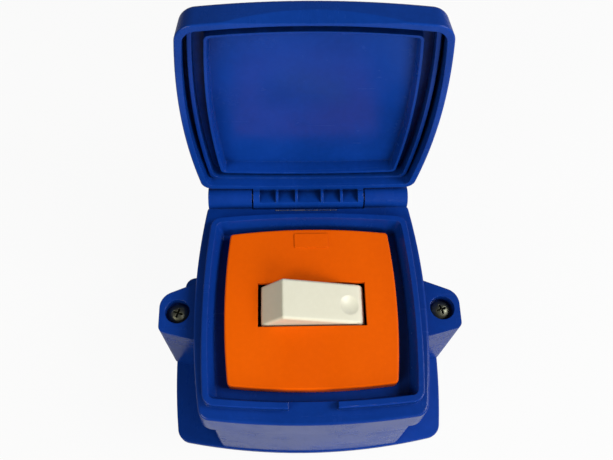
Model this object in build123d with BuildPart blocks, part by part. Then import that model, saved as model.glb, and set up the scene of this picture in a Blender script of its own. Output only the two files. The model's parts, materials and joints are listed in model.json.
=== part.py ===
"""Weatherproof surface switch box with a flap lid, an orange face plate and one wide rocker.

Millimetres. The box lies on its back: Z = 0 is the face that goes on the wall, +Z comes out
of the front, +Y runs towards the hinge and X = Y = 0 is on the line between the ear screws.
The lid is built standing open, which is its rest position.
"""

import os
from math import cos, radians, sin

from build123d import *

os.makedirs("parts", exist_ok=True)

# Driving sizes
body_w = 96.8
body_front, body_rear = 48.6, 47.0
shelf_z = 57.0
flange_t = 3.0
wall_t = 2.8
lip_h, lip_w = 4.0, 2.4
deck_t = 3.0
lid_h = 12.6
lid_wall = 2.5
lid_open_deg = 97.1
knuckle_r = 5.0
pin_r = 1.6
plate_t = 2.0
window_w, window_h = 45.0, 19.0
window_x, window_y = 0.4, 0.6
rocker_tilt = 15.4
pivot_pin_r = 1.5
blade_tilt = 8.0

# Clearances
run_fit = 0.05
snug_fit = 0.02
part_gap = 0.3

# Sizes that follow from them
half_w = body_w / 2
band_z = shelf_z - 17.0
deck_top = shelf_z - 5.0
ear_x = half_w + 7.6
ear_top = shelf_z - 4.4
hinge_y, hinge_z = body_rear + 3.4, shelf_z + 0.4
knuckle_in, knuckle_out = 24.5, half_w - 4.6
plate_top = shelf_z + 0.5
pivot_z = shelf_z - 7.0
blade_z = pivot_z - 13.8
post_top = pivot_z - 12.0
case_x, case_y = window_w / 2 + 3.5, window_h / 2 + 4.0
case_bottom, case_top = pivot_z - 30.0, plate_top - plate_t - 0.5

# Outlines: front and rear give half width at the corner, Y at the corner and Y at the middle,
# side gives half width at its widest and the Y of that point.
RIM = dict(front=(half_w - 3.7, 3.2 - body_front, -body_front),
           rear=(half_w - 4.2, body_rear - 0.4, body_rear), side=(half_w, -2.0), r=(5.0, 2.4))
WAIST = dict(front=(half_w - 7.8, 1.9 - body_front, -body_front - 0.6),
             rear=(half_w - 6.4, body_rear - 11.0, body_rear - 10.0), side=(half_w - 2.8, -4.0),
             r=(3.0, 4.0))
FOOT = dict(front=(half_w - 8.2, 0.4 - body_front, -body_front - 2.5),
            rear=(half_w - 6.4, body_rear - 14.0, body_rear - 13.0), side=(half_w - 2.4, -6.0),
            r=(3.0, 4.0))
BASE = dict(front=(half_w + 11.2, 3.4 - body_front, -body_front - 3.0),
            rear=(half_w + 11.0, body_rear - 13.6, body_rear - 11.0), side=(half_w + 13.9, -6.0),
            r=(6.5, 5.0))
LIP = dict(front=(half_w - 7.5, 10.4 - body_front, 8.0 - body_front),
           rear=(half_w - 8.8, body_rear - 10.2, body_rear - 8.2), side=(half_w - 6.0, -3.0),
           r=(2.5, 2.5))
PLATE = dict(front=(half_w - 14.4, 15.8 - body_front, 13.7 - body_front),
             rear=(half_w - 14.4, body_rear - 14.2, body_rear - 12.1), side=(half_w - 12.4, 0.0),
             r=(2.0, 1.6))
LID = dict(front=(half_w - 1.8, 0.6 - body_front, -body_front - 2.5),
           rear=(half_w - 2.6, body_rear - 3.6, body_rear - 2.8), side=(half_w + 1.4, -2.0),
           r=(8.0, 5.0))
RIDGE = dict(front=(half_w - 5.5, 4.0 - body_front, 2.4 - body_front),
             rear=(half_w - 6.2, body_rear - 5.4, body_rear - 4.6), side=(half_w - 3.0, -3.0),
             r=(4.0, 4.0))
TRAY = dict(front=(half_w - 10.6, 9.0 - body_front, 6.9 - body_front),
            rear=(half_w - 10.8, body_rear - 8.7, body_rear - 7.7), side=(half_w - 8.4, -3.0),
            r=(2.5, 2.5))


def barrel(plane, form, grow=0.0, dy=0.0):
    """Closed four-sided outline with bowed sides and rounded corners, grown or shrunk by grow."""
    fx, fy, fm = form["front"]
    rx, ry, rm = form["rear"]
    sx, sy = form["side"]
    fx, rx, sx = fx + grow, rx + grow, sx + grow
    fy, fm, ry, rm, sy = fy - grow + dy, fm - grow + dy, ry + grow + dy, rm + grow + dy, sy + dy
    with BuildSketch(plane) as outline:
        with BuildLine():
            ThreePointArc((-fx, fy), (0, fm), (fx, fy))
            ThreePointArc((fx, fy), (sx, sy), (rx, ry))
            ThreePointArc((rx, ry), (0, rm), (-rx, ry))
            ThreePointArc((-rx, ry), (-sx, sy), (-fx, fy))
        make_face()
        corners = outline.vertices().sort_by(Axis.Y)
        fillet(corners[:2], max(form["r"][0] + grow, 0.6))
        fillet(outline.vertices().sort_by(Axis.Y)[-2:], max(form["r"][1] + grow, 0.6))
    return outline.sketch


def ear_outline(plane, side):
    """Lug that carries one cover screw and runs back into the side wall."""
    root, tip = half_w - 5.0, ear_x + 7.6
    with BuildSketch(plane) as lug:
        with BuildLine():
            Polyline((root, 14.6), (tip, 6.6), (tip, -8.6), (root, -13.8), close=True)
        make_face()
        fillet(lug.vertices().group_by(Axis.X)[-1].sort_by(Axis.Y)[-1:], 7.0)
        fillet(lug.vertices().group_by(Axis.X)[-1].sort_by(Axis.Y)[:1], 3.0)
        if side < 0:
            mirror(about=Plane.YZ, mode=Mode.REPLACE)
    return lug.sketch


def at(z):
    return Plane.XY.offset(z)


# ---------------------------------------------------------------- back base
entry_x, entry_y, entry_r = 0.0, -31.0, 9.0
wall_holes = [(sx * 32.0, y) for sx in (-1, 1) for y in (-35.0, 22.0)]
post_x = [window_x - case_x - 5.0, window_x + case_x + 5.0]
earth_x, earth_y = -34.0, -18.0

with BuildPart() as back_base:
    extrude(barrel(at(0), BASE), amount=flange_t)
    fillet(back_base.faces().sort_by(Axis.Z)[-1].edges(), 0.4)
    # locating rim that stands just inside the housing wall
    extrude(barrel(at(flange_t), FOOT, grow=-wall_t - 0.5), amount=4.0)
    extrude(barrel(at(flange_t), FOOT, grow=-wall_t - 2.3), amount=4.0, mode=Mode.SUBTRACT)
    # groove for the seal under the housing wall
    extrude(barrel(at(flange_t - 1.2), FOOT, grow=-0.4), amount=1.2, mode=Mode.SUBTRACT)
    extrude(barrel(at(flange_t - 1.2), FOOT, grow=-wall_t + 0.4), amount=1.2)
    with Locations(*[(x, window_y, flange_t) for x in post_x]):
        Cylinder(4.5, post_top - flange_t, align=(Align.CENTER, Align.CENTER, Align.MIN))
    with Locations(*[(s * ear_x, 0, flange_t) for s in (-1, 1)]):
        Cylinder(4.3, 9.6, align=(Align.CENTER, Align.CENTER, Align.MIN))
    with Locations((earth_x, earth_y, flange_t)):
        Box(10.0, 12.0, 3.0, align=(Align.CENTER, Align.CENTER, Align.MIN))
    with Locations(*[(x, window_y, post_top - 14) for x in post_x]):
        Cylinder(1.5, 14, align=(Align.CENTER, Align.CENTER, Align.MIN), mode=Mode.SUBTRACT)
    with Locations(*[(s * ear_x, 0, 5.0) for s in (-1, 1)]):
        Cylinder(3.0, 9, align=(Align.CENTER, Align.CENTER, Align.MIN), mode=Mode.SUBTRACT)
    with Locations(*[(s * ear_x, 0, 3.6) for s in (-1, 1)]):
        Cylinder(2.2, 2, align=(Align.CENTER, Align.CENTER, Align.MIN), mode=Mode.SUBTRACT)
    with Locations(*[(x, y, 0) for x, y in wall_holes]):
        Cylinder(2.5, flange_t, align=(Align.CENTER, Align.CENTER, Align.MIN), mode=Mode.SUBTRACT)
    with Locations((entry_x, entry_y, 0)):
        Cylinder(entry_r, flange_t, align=(Align.CENTER, Align.CENTER, Align.MIN), mode=Mode.SUBTRACT)
back_base.part.label = "back_base"
export_step(back_base.part, "parts/back_base.step")

with BuildPart() as base_gasket:
    extrude(barrel(at(flange_t - 1.2), FOOT, grow=-0.5), amount=1.2)
    extrude(barrel(at(flange_t - 1.2), FOOT, grow=-wall_t + 0.5), amount=1.2, mode=Mode.SUBTRACT)
base_gasket.part.label = "base_gasket"
export_step(base_gasket.part, "parts/base_gasket.step")

with BuildPart() as cable_grommet:
    with BuildSketch(Plane((entry_x, entry_y, 0), x_dir=(1, 0, 0), z_dir=(0, -1, 0))):
        with BuildLine():
            Polyline((5.0, 0.2), (8.8, 0.2), (8.8, flange_t), (11.0, flange_t), (11.0, 4.6),
                     (8.4, 7.0), (5.0, 7.0), close=True)
        make_face()
    revolve(axis=Axis((entry_x, entry_y, 0), (0, 0, 1)))
cable_grommet.part.label = "cable_grommet"
export_step(cable_grommet.part, "parts/cable_grommet.step")

# ---------------------------------------------------------------- front housing
leaf_y = hinge_y - knuckle_r - 1.3
with BuildPart() as front_housing:
    # rim band with rounded top edge, over the narrower lower wall
    loft(sections=[barrel(at(band_z), RIM, grow=0.7).face(), barrel(at(shelf_z), RIM).face()])
    fillet(front_housing.faces().sort_by(Axis.Z)[-1].edges(), 1.0)
    loft(sections=[barrel(at(flange_t), FOOT).face(), barrel(at(band_z), WAIST).face()])
    for side in (-1, 1):
        extrude(ear_outline(at(flange_t), side), amount=ear_top - 0.5 - flange_t)
        extrude(ear_outline(at(ear_top - 0.5), side), amount=0.5, taper=45)
    # cradle under the hinge, and the knuckles that hold the ends of the pin
    with BuildSketch(Plane.YZ.offset(-knuckle_out)):
        with Locations((hinge_y, hinge_z)):
            Circle(knuckle_r + 1.9)
        with Locations((hinge_y, shelf_z)):
            Rectangle(20, 10, align=(Align.CENTER, Align.MIN), mode=Mode.SUBTRACT)
        with Locations((body_rear - 2.2, shelf_z)):
            Rectangle(10, 40, align=(Align.MAX, Align.CENTER), mode=Mode.SUBTRACT)
        with BuildLine():
            Polyline((body_rear - 2.2, shelf_z), (hinge_y, shelf_z), (hinge_y + 3, shelf_z - 5),
                     (body_rear - 0.6, shelf_z - 14), (body_rear - 2.2, shelf_z - 14), close=True)
        make_face()
    extrude(amount=2 * knuckle_out)
    for x in (-knuckle_out, knuckle_in):
        with BuildSketch(Plane.YZ.offset(x)):
            with Locations((hinge_y, hinge_z)):
                Circle(knuckle_r)
        extrude(amount=knuckle_out - knuckle_in)
    with BuildSketch(Plane.YZ.offset(-knuckle_in - part_gap)):
        with Locations((hinge_y, hinge_z)):
            Circle(knuckle_r + 0.4)
    extrude(amount=2 * (knuckle_in + part_gap), mode=Mode.SUBTRACT)
    # inside space below the deck
    loft(sections=[barrel(at(flange_t), FOOT, grow=-wall_t).face(),
                   barrel(at(band_z), WAIST, grow=-wall_t).face()], mode=Mode.SUBTRACT)
    extrude(barrel(at(band_z), WAIST, grow=-wall_t), amount=deck_top - deck_t - band_z,
            mode=Mode.SUBTRACT)
    # recess above the deck, then the sealing lip around it
    extrude(barrel(at(shelf_z), LIP, grow=lip_w), amount=lip_h)
    lip_face = front_housing.faces().filter_by(Axis.Z).sort_by(Axis.Z)[-1]
    fillet(lip_face.edges(), 0.5)
    loft(sections=[barrel(at(deck_top), LIP, grow=-2.2).face(),
                   barrel(at(shelf_z + lip_h), LIP).face()], mode=Mode.SUBTRACT)
    with Locations((-0.25, 4.4 - body_front, shelf_z)):
        Box(19.5, 12.0, lip_h, align=(Align.CENTER, Align.CENTER, Align.MIN), mode=Mode.SUBTRACT)
    # deck opening for the switch
    with Locations((window_x, window_y, deck_top)):
        Box(2 * case_x + 4, 2 * case_y + 4, 12, mode=Mode.SUBTRACT)
    # counterbores and clearance holes in the ears, sockets for the base posts
    for side in (-1, 1):
        with Locations((side * ear_x, 0, ear_top)):
            Cylinder(5.2, 5.4, mode=Mode.SUBTRACT, align=(Align.CENTER, Align.CENTER, Align.MAX))
            Cylinder(2.2, 80, mode=Mode.SUBTRACT, align=(Align.CENTER, Align.CENTER, Align.MAX))
        with Locations((side * ear_x, 0, flange_t)):
            Cylinder(4.6, 10.0, mode=Mode.SUBTRACT, align=(Align.CENTER, Align.CENTER, Align.MIN))
    # pin bore, blind at the left end
    with BuildSketch(Plane.YZ.offset(-knuckle_out + 2.0)):
        with Locations((hinge_y, hinge_z)):
            Circle(pin_r + snug_fit)
    extrude(amount=2 * knuckle_out, mode=Mode.SUBTRACT)
    # slot for the hinge leaf
    with Locations((-1.0, leaf_y, shelf_z + 1)):
        Box(27.0, 0.5, 6.0, align=(Align.CENTER, Align.MIN, Align.MAX), mode=Mode.SUBTRACT)
front_housing.part.label = "front_housing"
export_step(front_housing.part, "parts/front_housing.step")

# ---------------------------------------------------------------- cover screws
head_z = ear_top - 5.4
with BuildPart() as ear_screws:
    for side in (-1, 1):
        with BuildSketch(Plane((side * ear_x, 0, 0), x_dir=(1, 0, 0), z_dir=(0, -1, 0))):
            with BuildLine():
                Line((0, 6.0), (1.6, 6.0))
                Line((1.6, 6.0), (1.9, 7.0))
                Line((1.9, 7.0), (1.9, head_z))
                Line((1.9, head_z), (4.1, head_z))
                Line((4.1, head_z), (4.1, head_z + 1.5))
                ThreePointArc((4.1, head_z + 1.5), (2.6, head_z + 2.5), (0, head_z + 2.9))
                Line((0, head_z + 2.9), (0, 6.0))
            make_face()
        revolve(axis=Axis((side * ear_x, 0, 0), (0, 0, 1)))
        with BuildSketch(at(head_z + 3.0)):
            with Locations(Location((side * ear_x, 0), 20 * side)):
                Rectangle(4.4, 1.0)
                Rectangle(1.0, 4.4)
        extrude(amount=-1.9, taper=12, mode=Mode.SUBTRACT)
ear_screws.part.label = "ear_screws"
export_step(ear_screws.part, "parts/ear_screws.step")

with BuildPart() as ear_inserts:
    with Locations(*[(s * ear_x, 0, 5.0) for s in (-1, 1)]):
        Cylinder(3.0, 7.6, align=(Align.CENTER, Align.CENTER, Align.MIN))
        Cylinder(1.95, 7.6, align=(Align.CENTER, Align.CENTER, Align.MIN), mode=Mode.SUBTRACT)
ear_inserts.part.label = "ear_inserts"
export_step(ear_inserts.part, "parts/ear_inserts.step")

# ---------------------------------------------------------------- hinge pin and leaf
with BuildPart() as hinge_pin:
    with BuildSketch(Plane.YZ.offset(-knuckle_out + 2.3)):
        with Locations((hinge_y, hinge_z)):
            Circle(pin_r)
    extrude(amount=2 * knuckle_out - 2.8)
    chamfer(hinge_pin.edges().filter_by(GeomType.CIRCLE), 0.3)
hinge_pin.part.label = "hinge_pin"
export_step(hinge_pin.part, "parts/hinge_pin.step")

with BuildPart() as hinge_leaf:
    with Locations((-1.0, leaf_y, shelf_z - 5.0)):
        Box(27.0, 0.5, 5.3, align=(Align.CENTER, Align.MIN, Align.MIN))
hinge_leaf.part.label = "hinge_leaf"
export_step(hinge_leaf.part, "parts/hinge_leaf.step")

# ---------------------------------------------------------------- face plate
with BuildPart() as face_plate:
    extrude(barrel(at(deck_top), PLATE), amount=plate_top - deck_top)
    fillet(face_plate.faces().sort_by(Axis.Z)[-1].edges(), 0.8)
    extrude(barrel(at(deck_top), PLATE, grow=-1.8), amount=plate_top - plate_t - deck_top,
            mode=Mode.SUBTRACT)
    with Locations((window_x, window_y, plate_top)):
        Box(window_w, window_h, 3 * plate_t, mode=Mode.SUBTRACT)
    # low pad for a label above the window
    with BuildSketch(at(plate_top)):
        with Locations((window_x + 0.4, window_y + 28.8)):
            RectangleRounded(14.6, 6.6, 0.6)
    extrude(amount=0.3)
face_plate.part.label = "face_plate"
export_step(face_plate.part, "parts/face_plate.step")

# ---------------------------------------------------------------- switch case
leg_x = [window_x - 13.5, window_x, window_x + 13.5]
leg_foot = case_bottom - 11.0

with BuildPart() as switch_case:
    with Locations((window_x, window_y, case_bottom)):
        Box(2 * case_x, 2 * case_y, case_top - case_bottom,
            align=(Align.CENTER, Align.CENTER, Align.MIN))
    with Locations((window_x, window_y, case_bottom + 2)):
        Box(2 * case_x - 3.6, 2 * case_y - 3.6, case_top,
            align=(Align.CENTER, Align.CENTER, Align.MIN), mode=Mode.SUBTRACT)
    # lugs that sit on the base posts
    for side in (-1, 1):
        with Locations((window_x + side * (case_x + 5.0), window_y, post_top)):
            Box(10.4, 12.0, 3.0, align=(Align.CENTER, Align.CENTER, Align.MIN))
            Cylinder(1.7, 8.0, mode=Mode.SUBTRACT)
    # slots for the contact legs
    with Locations(*[(x, window_y, case_bottom + 1) for x in leg_x]):
        Box(1.6, 5.4, 4, mode=Mode.SUBTRACT)
    with Locations(Location((window_x, window_y, pivot_z), (90, 0, 0))):
        Cylinder(pivot_pin_r + snug_fit, 4 * case_y, mode=Mode.SUBTRACT)
switch_case.part.label = "switch_case"
export_step(switch_case.part, "parts/switch_case.step")

with BuildPart() as case_screws:
    for x in post_x:
        with BuildSketch(Plane((x, window_y, 0), x_dir=(1, 0, 0), z_dir=(0, -1, 0))):
            with BuildLine():
                Polyline((0, post_top - 11), (1.0, post_top - 11), (1.45, post_top - 9.5),
                         (1.45, post_top + 3),
                         (2.9, post_top + 3), (2.9, post_top + 4.2), (2.2, post_top + 5),
                         (0, post_top + 5), close=True)
            make_face()
        revolve(axis=Axis((x, window_y, 0), (0, 0, 1)))
        with Locations((x, window_y, post_top + 5)):
            Box(3.4, 0.8, 2.0, mode=Mode.SUBTRACT)
            Box(0.8, 3.4, 2.0, mode=Mode.SUBTRACT)
case_screws.part.label = "case_screws"
export_step(case_screws.part, "parts/case_screws.step")

# ---------------------------------------------------------------- rocker and what it carries
rocker_plane = Plane(
    origin=(window_x, window_y, pivot_z),
    x_dir=(cos(radians(rocker_tilt)), 0, -sin(radians(rocker_tilt))),
    z_dir=(sin(radians(rocker_tilt)), 0, cos(radians(rocker_tilt))),
)
# upright plane through the pivot, seen from the front: local X along the rocker, local Y up
rocker_side = Plane(rocker_plane.origin, x_dir=rocker_plane.x_dir, z_dir=(0, -1, 0))
rocker_axis = Axis(rocker_plane.origin, rocker_plane.z_dir)
rocker_half = window_w / 2 - 0.5
rocker_w = window_h - 1.6
boss_z = -9.0
dish_r = 13.0

with BuildPart() as rocker:
    with BuildSketch(rocker_side):
        with BuildLine():
            Polyline((-rocker_half, 0), (6.0 - rocker_half, 12.0), (rocker_half - 2.5, 12.0),
                     (rocker_half + 0.3, 2), (rocker_half - 2, -4), (3 - rocker_half, -4),
                     close=True)
        make_face()
    extrude(amount=rocker_w / 2, both=True)
    fillet(rocker.edges().filter_by(Axis.Y).sort_by(rocker_axis)[-2:].sort_by(Axis.X)[-1:], 4.2)
    fillet(rocker.edges().filter_by(Axis.Y).sort_by(Axis.Z)[-1:], 0.9)
    fillet(rocker.faces().sort_by(rocker_axis)[-1].edges().filter_by(Axis.Y, reverse=True), 1.2)
    with BuildSketch(rocker_side):
        with BuildLine():
            Polyline((2.0 - rocker_half, -0.4), (7.4 - rocker_half, 10.2),
                     (rocker_half - 4.2, 10.2), (rocker_half - 2.0, 0), (rocker_half - 4, -4),
                     (5 - rocker_half, -4), close=True)
        make_face()
    extrude(amount=rocker_w / 2 - 1.6, both=True, mode=Mode.SUBTRACT)
    # hub around the pin with the socket for the plunger
    with BuildSketch(rocker_side):
        with BuildLine():
            Polyline((-4.0, 11.0), (4.0, 11.0), (3.6, boss_z), (-3.6, boss_z), close=True)
        make_face()
    extrude(amount=5.0, both=True)
    with BuildSketch(rocker_side):
        Rectangle(2.0, 3.0)
        with Locations((0, 4.0)):
            Rectangle(2.0, 14.0)
    extrude(amount=rocker_w / 2, both=True)
    with BuildSketch(rocker_side):
        Circle(3.2)
    extrude(amount=rocker_w / 2, both=True)
    with BuildSketch(rocker_side):
        Circle(pivot_pin_r + run_fit)
    extrude(amount=rocker_w, both=True, mode=Mode.SUBTRACT)
    with BuildSketch(rocker_plane.offset(boss_z)):
        Circle(1.9)
    extrude(amount=-boss_z - 2.6, mode=Mode.SUBTRACT)
    # shallow finger dish at the low end
    with Locations(rocker_plane.from_local_coords((rocker_half - 9.2, -0.9, 11.3 + dish_r))):
        Sphere(dish_r, mode=Mode.SUBTRACT)
rocker.part.label = "rocker"
export_step(rocker.part, "parts/rocker.step")

with BuildPart() as plunger:
    with BuildSketch(rocker_plane.offset(-12.5)):
        Circle(1.9 - run_fit)
    extrude(amount=6.5)
    fillet(plunger.edges().sort_by(rocker_axis)[:1], 1.3)
plunger.part.label = "plunger"
export_step(plunger.part, "parts/plunger.step")

with BuildPart() as plunger_spring:
    with BuildLine():
        coil = Helix(pitch=0.9, height=2.7, radius=1.4, direction=rocker_plane.z_dir,
                     center=rocker_plane.origin + rocker_plane.z_dir * -5.68)
    with BuildSketch(Plane(coil @ 0, z_dir=coil % 0)):
        Circle(0.28)
    sweep()
plunger_spring.part.label = "plunger_spring"
export_step(plunger_spring.part, "parts/plunger_spring.step")

with BuildPart() as pivot_pin:
    with Locations(Location((window_x, window_y, pivot_z), (90, 0, 0))):
        Cylinder(pivot_pin_r, 2 * case_y - 0.4)
pivot_pin.part.label = "pivot_pin"
export_step(pivot_pin.part, "parts/pivot_pin.step")

# ---------------------------------------------------------------- contacts and terminals
blade_plane = Plane(
    origin=(window_x, window_y, blade_z),
    x_dir=(cos(radians(blade_tilt)), 0, sin(radians(blade_tilt))),
    z_dir=(-sin(radians(blade_tilt)), 0, cos(radians(blade_tilt))),
)
bead_r = 0.8
with BuildPart() as contact_blade:
    with BuildSketch(blade_plane.offset(-0.2)):
        SlotOverall(30.0, 7.0)
    extrude(amount=1.0)
    with BuildSketch(blade_plane.offset(-0.6)):
        with Locations((-12.6, 0), (12.6, 0)):
            Circle(1.8)
    extrude(amount=0.6)
    # round bead that rocks in the saddle of the cradle
    with Locations(Location((window_x, window_y, blade_z), (90, 0, 0))):
        Cylinder(bead_r, 5.0)
contact_blade.part.label = "contact_blade"
export_step(contact_blade.part, "parts/contact_blade.step")

for name, x, way in (("left_contact", leg_x[0], -1), ("right_contact", leg_x[2], 1)):
    with BuildPart() as contact:
        with Locations((x, window_y, leg_foot)):
            Box(1.2, 5.0, blade_z - 3.2 - leg_foot, align=(Align.CENTER, Align.CENTER, Align.MIN))
        with Locations((x + way * 1.0, window_y, blade_z - 3.2)):
            Box(5.4, 7.0, 1.0, align=(Align.CENTER, Align.CENTER, Align.MAX))
        with Locations((x + way * 0.9, window_y, blade_z - 3.2)):
            Cylinder(1.8, 0.3, align=(Align.CENTER, Align.CENTER, Align.MIN))
    contact.part.label = name
    export_step(contact.part, f"parts/{name}.step")

with BuildPart() as contact_cradle:
    with Locations((window_x, window_y, leg_foot)):
        Box(1.2, 5.0, blade_z - 1.6 - leg_foot, align=(Align.CENTER, Align.CENTER, Align.MIN))
    with Locations((window_x, window_y, case_bottom + 2.0)):
        Box(6.0, 7.0, 1.0, align=(Align.CENTER, Align.CENTER, Align.MIN))
    with Locations((window_x, window_y, blade_z - 0.6)):
        Box(2.0, 6.0, 1.2, align=(Align.CENTER, Align.CENTER, Align.MAX))
    with Locations(Location((window_x, window_y, blade_z), (90, 0, 0))):
        Cylinder(bead_r + run_fit, 8.0, mode=Mode.SUBTRACT)
contact_cradle.part.label = "contact_cradle"
export_step(contact_cradle.part, "parts/contact_cradle.step")

clamp_z = leg_foot + 1.0
with BuildPart() as terminal_clamps:
    with Locations(*[(x + 0.6, window_y, clamp_z) for x in leg_x]):
        Box(7.0, 9.0, 7.5, align=(Align.MIN, Align.CENTER, Align.MIN))
    with Locations(*[Location((x + 4.1, window_y, clamp_z + 3.75), (90, 0, 0)) for x in leg_x]):
        Cylinder(1.5, 20.0, mode=Mode.SUBTRACT)
terminal_clamps.part.label = "terminal_clamps"
export_step(terminal_clamps.part, "parts/terminal_clamps.step")

with BuildPart() as terminal_screws:
    for x in leg_x:
        face = Plane((x + 4.1, window_y - 4.5, clamp_z + 3.75), x_dir=(1, 0, 0), z_dir=(0, -1, 0))
        with BuildSketch(face.offset(-6.0)):
            Circle(1.45)
        extrude(amount=6.0)
        with BuildSketch(face):
            Circle(2.75)
        extrude(amount=1.8)
        with BuildSketch(face.offset(1.8)):
            Rectangle(4.4, 0.8)
        extrude(amount=-0.9, mode=Mode.SUBTRACT)
terminal_screws.part.label = "terminal_screws"
export_step(terminal_screws.part, "parts/terminal_screws.step")

with BuildPart() as earth_terminal:
    with Locations((earth_x, earth_y, 6.0)):
        Box(8.0, 10.0, 7.0, align=(Align.CENTER, Align.CENTER, Align.MIN))
        Cylinder(1.5, 30.0, mode=Mode.SUBTRACT)
    with Locations(Location((earth_x, earth_y, 8.5), (0, 90, 0))):
        Cylinder(1.6, 20.0, mode=Mode.SUBTRACT)
earth_terminal.part.label = "earth_terminal"
export_step(earth_terminal.part, "parts/earth_terminal.step")

with BuildPart() as earth_screw:
    with Locations((earth_x, earth_y, 10.5)):
        Cylinder(1.45, 2.5, align=(Align.CENTER, Align.CENTER, Align.MIN))
    with Locations((earth_x, earth_y, 13.0)):
        Cylinder(2.9, 2.0, align=(Align.CENTER, Align.CENTER, Align.MIN))
    with Locations((earth_x, earth_y, 15.0)):
        Box(4.6, 0.8, 1.8, mode=Mode.SUBTRACT)
earth_screw.part.label = "earth_screw"
export_step(earth_screw.part, "parts/earth_screw.step")

# ---------------------------------------------------------------- lid, standing open
# Local frame on the hinge axis: X as the box, Y towards the hinge and Z outwards when closed.
lid_plane = Plane(
    origin=(0, hinge_y, hinge_z),
    x_dir=(1, 0, 0),
    z_dir=(0, sin(radians(lid_open_deg)), cos(radians(lid_open_deg))),
)
lid_rim = 0.1
trough_z = 10.0
ridge_z = 4.2
tray_edge_z, tray_floor_z = 5.0, 10.4
lid_knuckle_x = knuckle_in - part_gap


def lid_ring(z, form, grow=0.0):
    return barrel(lid_plane.offset(z), form, grow=grow, dy=-hinge_y)


with BuildPart(lid_plane) as lid:
    loft(sections=[lid_ring(lid_rim, LID).face(), lid_ring(lid_h, LID, -1.2).face()])
    lid_axis = Axis(lid_plane.origin, lid_plane.z_dir)
    fillet(lid.faces().sort_by(lid_axis)[-1].edges(), 3.5)
    fillet(lid.faces().sort_by(lid_axis)[0].edges(), 0.6)
    # slanted finger grip across the free end
    grip_y = -body_front - 2.5 - hinge_y
    with BuildSketch(Plane(lid_plane.origin, x_dir=lid_plane.y_dir, z_dir=lid_plane.x_dir)):
        with BuildLine():
            Polyline((grip_y - 3, -1), (grip_y + 1.8, -1), (grip_y + 1.5, 0),
                     (grip_y + 0.4, 6.4), (grip_y - 3, 6.4), close=True)
        make_face()
    extrude(amount=half_w, both=True, mode=Mode.SUBTRACT)
    # trough behind the skirt, with a low ridge standing in it
    extrude(lid_ring(lid_rim, LID, -lid_wall), amount=trough_z - lid_rim, mode=Mode.SUBTRACT)
    extrude(lid_ring(ridge_z, RIDGE), amount=trough_z - ridge_z)
    extrude(lid_ring(ridge_z, RIDGE, -1.4), amount=trough_z - ridge_z, mode=Mode.SUBTRACT)
    # central tray inside a raised edge
    extrude(lid_ring(tray_edge_z, TRAY), amount=trough_z - tray_edge_z)
    loft(sections=[lid_ring(tray_edge_z, TRAY, -1.0).face(),
                   lid_ring(tray_floor_z, TRAY, -1.7).face()], mode=Mode.SUBTRACT)
    # centre knuckle and its web
    with BuildSketch(Plane.YZ.offset(-lid_knuckle_x)):
        with Locations((hinge_y, hinge_z)):
            Circle(knuckle_r)
    extrude(amount=2 * lid_knuckle_x)
    with Locations((0, -6.6, 0.6)):
        Box(2 * lid_knuckle_x, 6.8, 4.4, align=(Align.CENTER, Align.MIN, Align.MIN))
    # open cells between thin ribs
    for x0, x1 in ((-21.4, -14.4), (-13.2, -5.9), (-4.7, 5.4), (6.6, 13.9), (15.1, 21.7)):
        with Locations(((x0 + x1) / 2, -2.5, 2.2)):
            Box(x1 - x0, 3.0, 9.0, align=(Align.CENTER, Align.MAX, Align.MAX), mode=Mode.SUBTRACT)
    with BuildSketch(Plane.YZ.offset(-lid_knuckle_x - 1)):
        with Locations((hinge_y, hinge_z)):
            Circle(pin_r + run_fit)
    extrude(amount=2 * lid_knuckle_x + 2, mode=Mode.SUBTRACT)
lid.part.label = "lid"
export_step(lid.part, "parts/lid.step")
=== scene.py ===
"""Looks for the flap-lid switch box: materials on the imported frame, floor, lights and camera.

Lengths are in metres and colours are linear.
"""

import json
import math

import bpy
from mathutils import Matrix, Vector


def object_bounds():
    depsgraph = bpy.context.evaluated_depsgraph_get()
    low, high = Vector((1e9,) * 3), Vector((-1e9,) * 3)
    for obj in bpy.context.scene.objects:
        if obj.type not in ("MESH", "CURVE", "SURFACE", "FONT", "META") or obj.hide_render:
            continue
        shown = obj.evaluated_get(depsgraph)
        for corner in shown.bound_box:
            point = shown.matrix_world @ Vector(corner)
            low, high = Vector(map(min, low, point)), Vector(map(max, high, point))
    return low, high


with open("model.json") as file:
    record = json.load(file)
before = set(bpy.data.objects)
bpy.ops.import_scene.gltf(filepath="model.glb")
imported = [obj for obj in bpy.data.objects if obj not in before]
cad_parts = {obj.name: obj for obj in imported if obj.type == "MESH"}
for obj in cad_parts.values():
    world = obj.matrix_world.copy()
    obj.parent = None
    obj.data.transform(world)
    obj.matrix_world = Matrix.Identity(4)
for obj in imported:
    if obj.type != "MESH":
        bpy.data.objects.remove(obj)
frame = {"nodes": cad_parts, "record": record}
cad_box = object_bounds()

# moulded plastic: how far each layer takes the colour towards its own; the last is painted shade in
# inner corners
CHIP_TINT, SPECK_TINT, CORNER_SHADE_TINT = 0.22, 0.12, 0.80
# moulded plastic: what each layer adds to the roughness; the third follows the painted corner shade
SCUFF_ROUGH, CHIP_ROUGH, CORNER_SHADE_ROUGH, HAIR_ROUGH = 0.10, 0.15, 0.20, 0.08
# moulded plastic: how far the painted corner shade reaches out of a corner, and the heights of its
# bumps
CORNER_SHADE_REACH, GRAIN_HEIGHT, RIPPLE_HEIGHT = 0.008, 0.000006, 0.00003
# metal: edge rounding, and how far a rubbed edge goes to its bright colour
METAL_EDGE, RUBBED_TINT = 0.00025, 0.7

NAVY, BLUE, SCUFFED = (0.0020, 0.0260, 0.190), (0.0036, 0.0370, 0.262), (0.05, 0.13, 0.40)
# paler copies of the housing's blues for the lid, which is the same plastic: painted light that
# makes the lid's inside read brighter
LIT_LID_NAVY, LIT_LID_BLUE = (0.0022, 0.0310, 0.215), (0.0042, 0.0440, 0.300)

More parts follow.
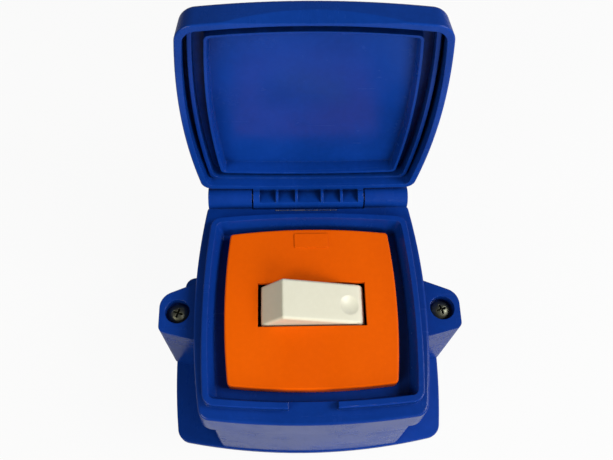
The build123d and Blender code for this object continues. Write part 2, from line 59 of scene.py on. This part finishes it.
FLOOR_HALF, FLOOR_DROP, FLOOR_GREY = 3.0, 0.0002, 0.48
FLOOR_WHITE_SHARE = 0.93
FILL_STRENGTH = 0.10


# ------------------------------------------------------------------ node helpers
class Shader:
    """One material and short calls to add and join its nodes."""

    def __init__(self, name):
        self.mat = bpy.data.materials.new(name)
        self.mat.use_nodes = True
        self.tree = self.mat.node_tree
        self.tree.nodes.clear()
        self.out = self.add("ShaderNodeOutputMaterial")
        self.bsdf = self.add("ShaderNodeBsdfPrincipled")
        self.join(self.bsdf.outputs[0], self.out.inputs["Surface"])
        self.place = self.add("ShaderNodeTexCoord").outputs["Object"]

    def add(self, kind, **values):
        node = self.tree.nodes.new(kind)
        for key, value in values.items():
            setattr(node, key, value)
        return node

    def join(self, a, b):
        self.tree.links.new(a, b)

    def noise(self, scale, detail=3.0, rough=0.5, stretch=None):
        """Noise with that many cells per metre, drawn out where stretch is under 1."""
        tex = self.add("ShaderNodeTexNoise")
        tex.inputs["Scale"].default_value = scale
        tex.inputs["Detail"].default_value = detail
        tex.inputs["Roughness"].default_value = rough
        place = self.place
        if stretch:
            mapping = self.add("ShaderNodeMapping")
            mapping.inputs["Scale"].default_value = stretch
            self.join(self.place, mapping.inputs["Vector"])
            place = mapping.outputs[0]
        self.join(place, tex.inputs["Vector"])
        return tex.outputs["Fac"]

    def ramp(self, value, low, high, to_low=0.0, to_high=1.0):
        """Takes value from low..high to to_low..to_high with soft ends."""
        node = self.add("ShaderNodeMapRange", interpolation_type="SMOOTHSTEP")
        for key, number in (("From Min", low), ("From Max", high),
                            ("To Min", to_low), ("To Max", to_high)):
            node.inputs[key].default_value = number
        self.join(value, node.inputs["Value"])
        return node.outputs[0]

    def patches(self, scale, low, high, to=(0.0, 1.0), **noise):
        """Noise cut into soft-edged patches."""
        return self.ramp(self.noise(scale, **noise), low, high, *to)

    def math(self, operation, a, b):
        node = self.add("ShaderNodeMath", operation=operation)
        for socket, value in zip(node.inputs, (a, b)):
            if isinstance(value, (int, float)):
                socket.default_value = value
            else:
                self.join(value, socket)
        return node.outputs[0]

    def times(self, a, b):
        return self.math("MULTIPLY", a, b)

    def plus(self, a, b):
        return self.math("ADD", a, b)

    def mix(self, factor, a, b):
        """Colour a where factor is 0 and colour b where it is 1."""
        node = self.add("ShaderNodeMix", data_type="RGBA")
        for socket, value in ((node.inputs[0], factor), (node.inputs[6], a), (node.inputs[7], b)):
            if hasattr(value, "links"):
                self.join(value, socket)
            else:
                socket.default_value = (*value, 1.0)
        return node.outputs[2]

    def edges(self, radius):
        """Mask that is 1 on worn outer edges, and the normal rounded over that radius."""
        bevel = self.add("ShaderNodeBevel", samples=6)
        bevel.inputs["Radius"].default_value = radius
        geo = self.add("ShaderNodeNewGeometry")
        dot = self.add("ShaderNodeVectorMath", operation="DOT_PRODUCT")
        self.join(bevel.outputs[0], dot.inputs[0])
        self.join(geo.outputs["Normal"], dot.inputs[1])
        return self.ramp(dot.outputs["Value"], 0.99, 0.80), bevel.outputs[0]

    def corners(self, reach):
        """Mask that is 1 in inner corners, from ambient occlusion; it places painted shade."""
        hollow = self.add("ShaderNodeAmbientOcclusion", samples=6, only_local=True)
        hollow.inputs["Distance"].default_value = reach
        return self.ramp(hollow.outputs["AO"], 0.70, 0.15)

    def bump(self, heights, normal):
        """Adds each (height, distance) as a layer of bump over a rounded normal."""
        for height, distance in heights:
            node = self.add("ShaderNodeBump")
            node.inputs["Strength"].default_value = 1.0
            node.inputs["Distance"].default_value = distance
            self.join(height, node.inputs["Height"])
            self.join(normal, node.inputs["Normal"])
            normal = node.outputs[0]
        self.join(normal, self.bsdf.inputs["Normal"])


# ------------------------------------------------------------------ materials
def moulded(name, deep, pale, worn, rough, grain=1.0, edge=0.0005, specular=0.5, shade_colour=None):
    """Injection-moulded plastic: flow tint, spark-eroded grain, hairlines, painted shade in inner
    corners and pale edges.
    """
    s = Shader(name)
    flow = s.patches(26.0, 0.30, 0.72, detail=2.0, stretch=(1.0, 0.45, 1.0))
    mottle = s.patches(420.0, 0.35, 0.75, rough=0.6)
    tint = s.mix(s.times(s.plus(flow, s.times(mottle, 0.35)), 0.75), deep, pale)

    edge_mask, rounded = s.edges(edge)
    chips = s.times(edge_mask, s.patches(160.0, 0.35, 0.75, detail=4.0, rough=0.65))
    specks = s.patches(900.0, 0.735, 0.80, detail=1.0)
    # painted shade: inner corners and grooves are darkened by ambient occlusion, broken up by
    # noise, towards a dark tint
    painted_corner_shade = s.times(s.corners(CORNER_SHADE_REACH),
                   s.patches(230.0, 0.25, 0.60, to=(0.55, 1.0), detail=4.0, rough=0.65))
    tint = s.mix(s.times(chips, CHIP_TINT), tint, worn)
    tint = s.mix(s.times(specks, SPECK_TINT), tint, worn)
    tint = s.mix(s.times(painted_corner_shade, CORNER_SHADE_TINT), tint, shade_colour or tuple(c * 0.15 for c in deep))
    s.join(tint, s.bsdf.inputs["Base Color"])

    sheen = s.patches(14.0, 0.3, 0.7, to=(rough - 0.04, rough + 0.05), detail=2.0)
    scuff = s.patches(60.0, 0.42, 0.70, to=(0.0, SCUFF_ROUGH), detail=6.0, rough=0.7,
                      stretch=(1.0, 0.25, 1.0))
    hairs = s.patches(300.0, 0.66, 0.72, detail=2.0, stretch=(0.05, 1.0, 1.0))
    wear = s.plus(s.times(chips, CHIP_ROUGH),
                  s.plus(s.times(painted_corner_shade, CORNER_SHADE_ROUGH), s.times(hairs, HAIR_ROUGH)))
    s.join(s.plus(s.plus(sheen, scuff), wear), s.bsdf.inputs["Roughness"])

    s.bump([(s.noise(2600.0, 2.0, 0.6), GRAIN_HEIGHT * grain),
            (s.noise(90.0), RIPPLE_HEIGHT * grain)], rounded)
    s.bsdf.inputs["Specular IOR Level"].default_value = specular
    return s.mat


def metal(name, base, dull, rough, brushed=None, stained=0.3):
    """Plated or drawn metal with brush marks, dulled patches and bright rubbed edges."""
    s = Shader(name)
    patch = s.patches(240.0, 0.35, 0.70, detail=4.0, rough=0.6)
    spots = s.patches(700.0, 0.56, 0.68, rough=0.6)
    edge_mask, rounded = s.edges(METAL_EDGE)
    bright = tuple(min(1.0, c * 1.35 + 0.05) for c in base)
    tint = s.mix(patch, base, dull)
    tint = s.mix(s.times(spots, stained), tint, (0.12, 0.10, 0.07))
    tint = s.mix(s.times(edge_mask, RUBBED_TINT), tint, bright)
    s.join(tint, s.bsdf.inputs["Base Color"])
    s.bsdf.inputs["Metallic"].default_value = 1.0
    s.join(s.plus(s.ramp(patch, 0.0, 1.0, rough, rough + 0.16), s.times(spots, 0.15)),
           s.bsdf.inputs["Roughness"])
    s.bump([(s.noise(1500.0, rough=0.6, stretch=brushed or (1, 1, 1)), 0.00002),
            (s.noise(320.0), 0.00003)], rounded)
    return s.mat


def rubber(name, base, dusty):
    """Matt seal rubber with bloom and a slightly pitted skin."""
    s = Shader(name)
    bloom = s.patches(55.0, 0.40, 0.75, detail=5.0, rough=0.65)
    edge_mask, rounded = s.edges(0.0003)
    tint = s.mix(s.times(bloom, 0.6), base, dusty)
    tint = s.mix(s.times(edge_mask, 0.35), tint, dusty)
    s.join(tint, s.bsdf.inputs["Base Color"])
    s.join(s.patches(130.0, 0.3, 0.7, to=(0.62, 0.85), detail=4.0), s.bsdf.inputs["Roughness"])
    s.bump([(s.noise(1200.0, rough=0.6), 0.00005)], rounded)
    return s.mat


looks = {
    "blue_base": moulded("blue_base", NAVY, BLUE, SCUFFED, 0.27, specular=0.13),
    "blue_housing": moulded("blue_housing", NAVY, BLUE, SCUFFED, 0.20, specular=0.20),
    # the lid's paler blues are painted light
    "blue_lid": moulded("blue_lid", LIT_LID_NAVY, LIT_LID_BLUE, SCUFFED, 0.20, specular=0.16),
    "orange_plate": moulded("orange_plate", (0.67, 0.087, 0.0001), (0.75, 0.105, 0.0002),
                            (0.88, 0.20, 0.004), 0.42, 1.2, edge=0.0004, specular=0.06),
    # the rocker's painted corner shade is a warm dark brown
    "cream_rocker": moulded("cream_rocker", (0.62, 0.605, 0.475), (0.68, 0.67, 0.535),
                            (0.74, 0.73, 0.62), 0.30, 0.8, edge=0.0007, specular=0.35,
                            shade_colour=(0.30, 0.24, 0.14)),
    "case_plastic": moulded("case_plastic", (0.018, 0.018, 0.020), (0.030, 0.030, 0.034),
                            (0.12, 0.12, 0.12), 0.50, 1.5),
    "plunger_plastic": moulded("plunger_plastic", (0.50, 0.50, 0.47), (0.60, 0.60, 0.57),
                               (0.70, 0.70, 0.67), 0.45),
    "seal_rubber": rubber("seal_rubber", (0.012, 0.012, 0.014), (0.045, 0.045, 0.050)),
    "zinc_steel": metal("zinc_steel", (0.21, 0.215, 0.155), (0.11, 0.11, 0.08), 0.38, stained=0.5),
    "pin_steel": metal("pin_steel", (0.55, 0.55, 0.54), (0.40, 0.40, 0.39), 0.24, (1, 0.05, 0.05)),
    "spring_steel": metal("spring_steel", (0.66, 0.63, 0.58), (0.48, 0.45, 0.41), 0.20, (1, 9, 9)),
    "brass": metal("brass", (0.68, 0.47, 0.16), (0.50, 0.34, 0.11), 0.28, (9, 9, 1)),
    "contact_brass": metal("contact_brass", (0.70, 0.44, 0.20), (0.52, 0.30, 0.13), 0.25),
}
slot_of = {part["node"]: part["material_slot"] for part in frame["record"]["subparts"]}
for name, node in frame["nodes"].items():
    node.data.materials.clear()
    node.data.materials.append(looks[slot_of[name]])


# ------------------------------------------------------------------ floor, lights and camera
def light_path_mix(tree, plain, seen, share):
    """Joins plain, for lighting, with a share of seen that only the camera's own rays meet."""
    path = tree.nodes.new("ShaderNodeLightPath")
    scale = tree.nodes.new("ShaderNodeMath")
    scale.operation = "MULTIPLY"
    scale.inputs[1].default_value = share
    tree.links.new(path.outputs["Is Camera Ray"], scale.inputs[0])
    mix = tree.nodes.new("ShaderNodeMixShader")
    tree.links.new(scale.outputs[0], mix.inputs[0])
    tree.links.new(plain, mix.inputs[1])
    tree.links.new(seen, mix.inputs[2])
    return mix.outputs[0]


def make_floor():
    """Grey to the lamps and nearly white to the camera, just under the box's back face."""
    z = cad_box[0][2] - FLOOR_DROP
    corners = [(x * FLOOR_HALF, y * FLOOR_HALF, z) for x, y in ((-1, -1), (1, -1), (1, 1), (-1, 1))]
    mesh = bpy.data.meshes.new("floor")
    mesh.from_pydata(corners, [], [range(4)])
    floor = bpy.data.objects.new("floor", mesh)
    bpy.context.scene.collection.objects.link(floor)
    s = Shader("floor")
    s.bsdf.inputs["Base Color"].default_value = (FLOOR_GREY, FLOOR_GREY, FLOOR_GREY, 1)
    s.bsdf.inputs["Roughness"].default_value = 0.9
    s.bsdf.inputs["Specular IOR Level"].default_value = 0.1
    white = s.add("ShaderNodeEmission")
    white.inputs["Color"].default_value = (1, 1, 1, 1)
    white.inputs["Strength"].default_value = 1.0
    s.join(light_path_mix(s.tree, s.bsdf.outputs[0], white.outputs[0], FLOOR_WHITE_SHARE),
           s.out.inputs["Surface"])
    mesh.materials.append(s.mat)


def make_world():
    """A faint cool fill for the lighting, and plain white where the camera sees past the floor."""
    world = bpy.data.worlds.new("studio")
    bpy.context.scene.world = world
    world.use_nodes = True
    tree = world.node_tree
    tree.nodes.clear()
    out = tree.nodes.new("ShaderNodeOutputWorld")
    fill = tree.nodes.new("ShaderNodeBackground")
    fill.inputs["Color"].default_value = (0.93, 0.96, 1.0, 1)
    fill.inputs["Strength"].default_value = FILL_STRENGTH
    seen = tree.nodes.new("ShaderNodeBackground")
    seen.inputs["Color"].default_value = (1, 1, 1, 1)
    seen.inputs["Strength"].default_value = 1.0
    tree.links.new(light_path_mix(tree, fill.outputs[0], seen.outputs[0], 1.0),
                   out.inputs["Surface"])


def area_light(name, place, aim, size, watts, tint=(1, 1, 1)):
    data = bpy.data.lights.new(name, "AREA")
    data.shape = "RECTANGLE"
    data.size, data.size_y = size
    data.energy = watts
    data.color = tint
    lamp = bpy.data.objects.new(name, data)
    bpy.context.scene.collection.objects.link(lamp)
    lamp.location = place
    lamp.rotation_euler = (Vector(aim) - Vector(place)).to_track_quat("-Z", "Y").to_euler()
    return lamp


def make_lights():
    """A key lamp from the right, a low one in front and a warm one from the left."""
    middle = (0, 0, 0.05)
    area_light("key", (0.72, -0.05, 0.72), middle, (0.45, 0.45), 7.8)
    front = area_light("front", (0.48, -0.74, 0.42), (0, 0, 0.06), (0.7, 0.45), 6.8)
    # no mirror image of the low lamp, which would whiten the shut lid seen from behind
    front.visible_glossy = False
    area_light("side", (-0.55, -0.45, 0.55), middle, (0.4, 0.4), 3.8, (1.0, 0.96, 0.82))


def make_camera():
    """Looks down at the open box from in front, turned a little to its left."""
    pitch, yaw, roll = (math.radians(angle) for angle in (65.18, 4.83, 3.8))
    place = Vector((-0.01204, -0.09515, 0.33882))
    ahead = Vector((math.sin(yaw) * math.cos(pitch), math.cos(yaw) * math.cos(pitch),
                    -math.sin(pitch)))
    right = ahead.cross(Vector((0, 0, 1))).normalized()
    up = right.cross(ahead)
    right, up = (right * math.cos(roll) + up * math.sin(roll),
                 up * math.cos(roll) - right * math.sin(roll))
    turn = Matrix((right, up, -ahead)).transposed().to_4x4()
    data = bpy.data.cameras.new("camera")
    data.lens, data.sensor_width = 41.78, 36.0
    data.clip_start, data.clip_end = 0.01, 20.0
    camera = bpy.data.objects.new("camera", data)
    bpy.context.scene.collection.objects.link(camera)
    camera.matrix_world = Matrix.Translation(place) @ turn
    bpy.context.scene.camera = camera


make_floor()
make_world()
make_lights()
make_camera()
bpy.context.scene.view_settings.view_transform = "Standard"
